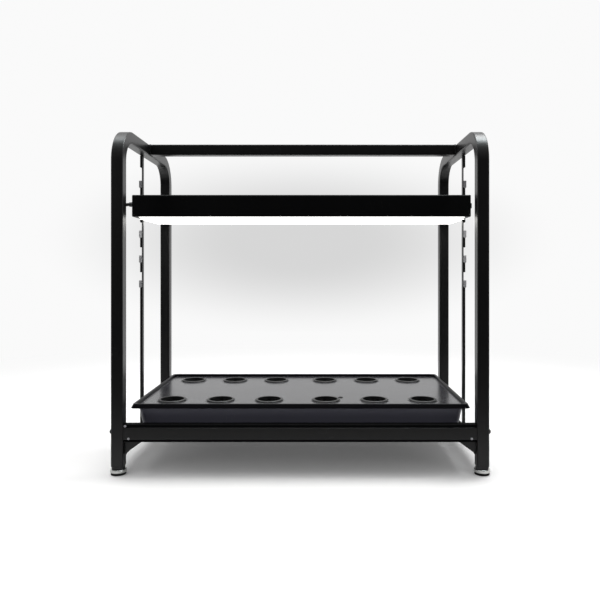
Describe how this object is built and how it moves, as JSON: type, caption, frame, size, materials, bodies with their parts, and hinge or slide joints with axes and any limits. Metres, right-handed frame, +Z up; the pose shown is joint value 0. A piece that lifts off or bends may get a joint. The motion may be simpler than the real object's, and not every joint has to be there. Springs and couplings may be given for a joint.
{
  "type": "plant grow shelf",
  "caption": "Tabletop grow shelf: bent square-tube frame on levelling feet, height-adjustable lamp hood on notched uprights, tray with a planting deck and lift-out net pots.",
  "frame": {"origin": "on the floor, under the middle of the frame", "axes": "+X to the right as the shelf is faced, +Y to its back, +Z up"},
  "size_m": [0.6346, 0.425, 0.55],
  "materials": {
    "frame_paint": "satin black powder coat",
    "black_bolt": "satin black",
    "hood_paint": "satin black",
    "black_plastic": "matt moulded",
    "tray_plastic": "satin moulded",
    "deck_plastic": "gloss moulded",
    "pot_plastic": "satin moulded",
    "pad_rubber": "matt",
    "foot_chrome": "bright",
    "driver_case": "satin",
    "reflector_white": "white gloss",
    "board_white": "white solder mask",
    "diffuser_lit": "opal, lit",
    "cord_jacket": "satin"
  },
  "bodies": {
    "frame": {"side_frame_left": "frame_paint", "side_frame_right": "frame_paint", "cross_tube": "frame_paint", "shelf_rail_front": "frame_paint", "shelf_rail_rear": "frame_paint", "shelf_panel": "frame_paint", "gusset_front_left": "frame_paint", "gusset_front_right": "frame_paint", "gusset_rear_left": "frame_paint", "gusset_rear_right": "frame_paint", "upright_left": "frame_paint", "upright_right": "frame_paint", "bolt_front_left": "black_bolt", "bolt_front_right": "black_bolt", "bolt_rear_left": "black_bolt", "bolt_rear_right": "black_bolt", "leg_plug_front_left": "black_plastic", "leg_plug_front_right": "black_plastic", "leg_plug_rear_left": "black_plastic", "leg_plug_rear_right": "black_plastic", "power_cord": "cord_jacket", "cord_coil": "cord_jacket", "mains_plug": "cord_jacket", "cord_tie": "pad_rubber"},
    "hood": {"hood_shell": "hood_paint", "hood_cap_left": "hood_paint", "hood_cap_right": "hood_paint", "diffuser": "diffuser_lit", "reflector": "reflector_white", "lamp_board_front": "board_white", "lamp_board_rear": "board_white", "lamp_driver": "driver_case", "hanger_left": "hood_paint", "hanger_right": "hood_paint", "cord_gland": "black_plastic"},
    "thumb_left": {"thumb_screw_left": "black_plastic"},
    "thumb_right": {"thumb_screw_right": "black_plastic"},
    "switch": {"rocker_switch": "black_plastic"},
    "tray": {"tray": "tray_plastic"},
    "deck": {"planting_deck": "deck_plastic"},
    "pot_front_1": {"net_pot_front_1": "pot_plastic"},
    "pot_front_2": {"net_pot_front_2": "pot_plastic"},
    "pot_front_3": {"net_pot_front_3": "pot_plastic"},
    "pot_front_4": {"net_pot_front_4": "pot_plastic"},
    "pot_front_5": {"net_pot_front_5": "pot_plastic"},
    "pot_front_6": {"net_pot_front_6": "pot_plastic"},
    "pot_rear_1": {"net_pot_rear_1": "pot_plastic"},
    "pot_rear_2": {"net_pot_rear_2": "pot_plastic"},
    "pot_rear_3": {"net_pot_rear_3": "pot_plastic"},
    "pot_rear_4": {"net_pot_rear_4": "pot_plastic"},
    "pot_rear_5": {"net_pot_rear_5": "pot_plastic"},
    "pot_rear_6": {"net_pot_rear_6": "pot_plastic"},
    "foot_fl": {"foot_front_left": "foot_chrome", "foot_pad_front_left": "pad_rubber"},
    "foot_fr": {"foot_front_right": "foot_chrome", "foot_pad_front_right": "pad_rubber"},
    "foot_rl": {"foot_rear_left": "foot_chrome", "foot_pad_rear_left": "pad_rubber"},
    "foot_rr": {"foot_rear_right": "foot_chrome", "foot_pad_rear_right": "pad_rubber"}
  },
  "joints": [
    {"name": "hood_height", "type": "slide", "parent": "frame", "child": "hood", "axis": [0, 0, 1], "range_m": [-0.136, 0.045]},
    {"name": "thumb_left_turn", "type": "hinge", "parent": "hood", "child": "thumb_left", "pos_m": [-0.29435, 0, 0.43109], "axis": [0, 1, 0], "continuous": true},
    {"name": "thumb_right_turn", "type": "hinge", "parent": "hood", "child": "thumb_right", "pos_m": [0.29435, 0, 0.43109], "axis": [0, 1, 0], "continuous": true},
    {"name": "switch_rock", "type": "hinge", "parent": "hood", "child": "switch", "pos_m": [0.2862, -0.06804, 0.43204], "axis": [0, 0, 1], "range_deg": [-14, 0]},
    {"name": "tray_lift", "type": "slide", "parent": "frame", "child": "tray", "axis": [0, 0, 1], "range_m": [0, 0.06]},
    {"name": "deck_lift", "type": "slide", "parent": "tray", "child": "deck", "axis": [0, 0, 1], "range_m": [0, 0.04]},
    {"name": "pot_front_1_lift", "type": "slide", "parent": "deck", "child": "pot_front_1", "axis": [0, 0, 1], "range_m": [0, 0.05]},
    {"name": "pot_front_2_lift", "type": "slide", "parent": "deck", "child": "pot_front_2", "axis": [0, 0, 1], "range_m": [0, 0.05]},
    {"name": "pot_front_3_lift", "type": "slide", "parent": "deck", "child": "pot_front_3", "axis": [0, 0, 1], "range_m": [0, 0.05]},
    {"name": "pot_front_4_lift", "type": "slide", "parent": "deck", "child": "pot_front_4", "axis": [0, 0, 1], "range_m": [0, 0.05]},
    {"name": "pot_front_5_lift", "type": "slide", "parent": "deck", "child": "pot_front_5", "axis": [0, 0, 1], "range_m": [0, 0.05]},
    {"name": "pot_front_6_lift", "type": "slide", "parent": "deck", "child": "pot_front_6", "axis": [0, 0, 1], "range_m": [0, 0.05]},
    {"name": "pot_rear_1_lift", "type": "slide", "parent": "deck", "child": "pot_rear_1", "axis": [0, 0, 1], "range_m": [0, 0.05]},
    {"name": "pot_rear_2_lift", "type": "slide", "parent": "deck", "child": "pot_rear_2", "axis": [0, 0, 1], "range_m": [0, 0.05]},
    {"name": "pot_rear_3_lift", "type": "slide", "parent": "deck", "child": "pot_rear_3", "axis": [0, 0, 1], "range_m": [0, 0.05]},
    {"name": "pot_rear_4_lift", "type": "slide", "parent": "deck", "child": "pot_rear_4", "axis": [0, 0, 1], "range_m": [0, 0.05]},
    {"name": "pot_rear_5_lift", "type": "slide", "parent": "deck", "child": "pot_rear_5", "axis": [0, 0, 1], "range_m": [0, 0.05]},
    {"name": "pot_rear_6_lift", "type": "slide", "parent": "deck", "child": "pot_rear_6", "axis": [0, 0, 1], "range_m": [0, 0.05]},
    {"name": "foot_fl_turn", "type": "hinge", "parent": "frame", "child": "foot_fl", "pos_m": [-0.2875, -0.1475, 0], "axis": [0, 0, 1], "continuous": true},
    {"name": "foot_fr_turn", "type": "hinge", "parent": "frame", "child": "foot_fr", "pos_m": [0.2875, -0.1475, 0], "axis": [0, 0, 1], "continuous": true},
    {"name": "foot_rl_turn", "type": "hinge", "parent": "frame", "child": "foot_rl", "pos_m": [-0.2875, 0.1475, 0], "axis": [0, 0, 1], "continuous": true},
    {"name": "foot_rr_turn", "type": "hinge", "parent": "frame", "child": "foot_rr", "pos_m": [0.2875, 0.1475, 0], "axis": [0, 0, 1], "continuous": true}
  ]
}
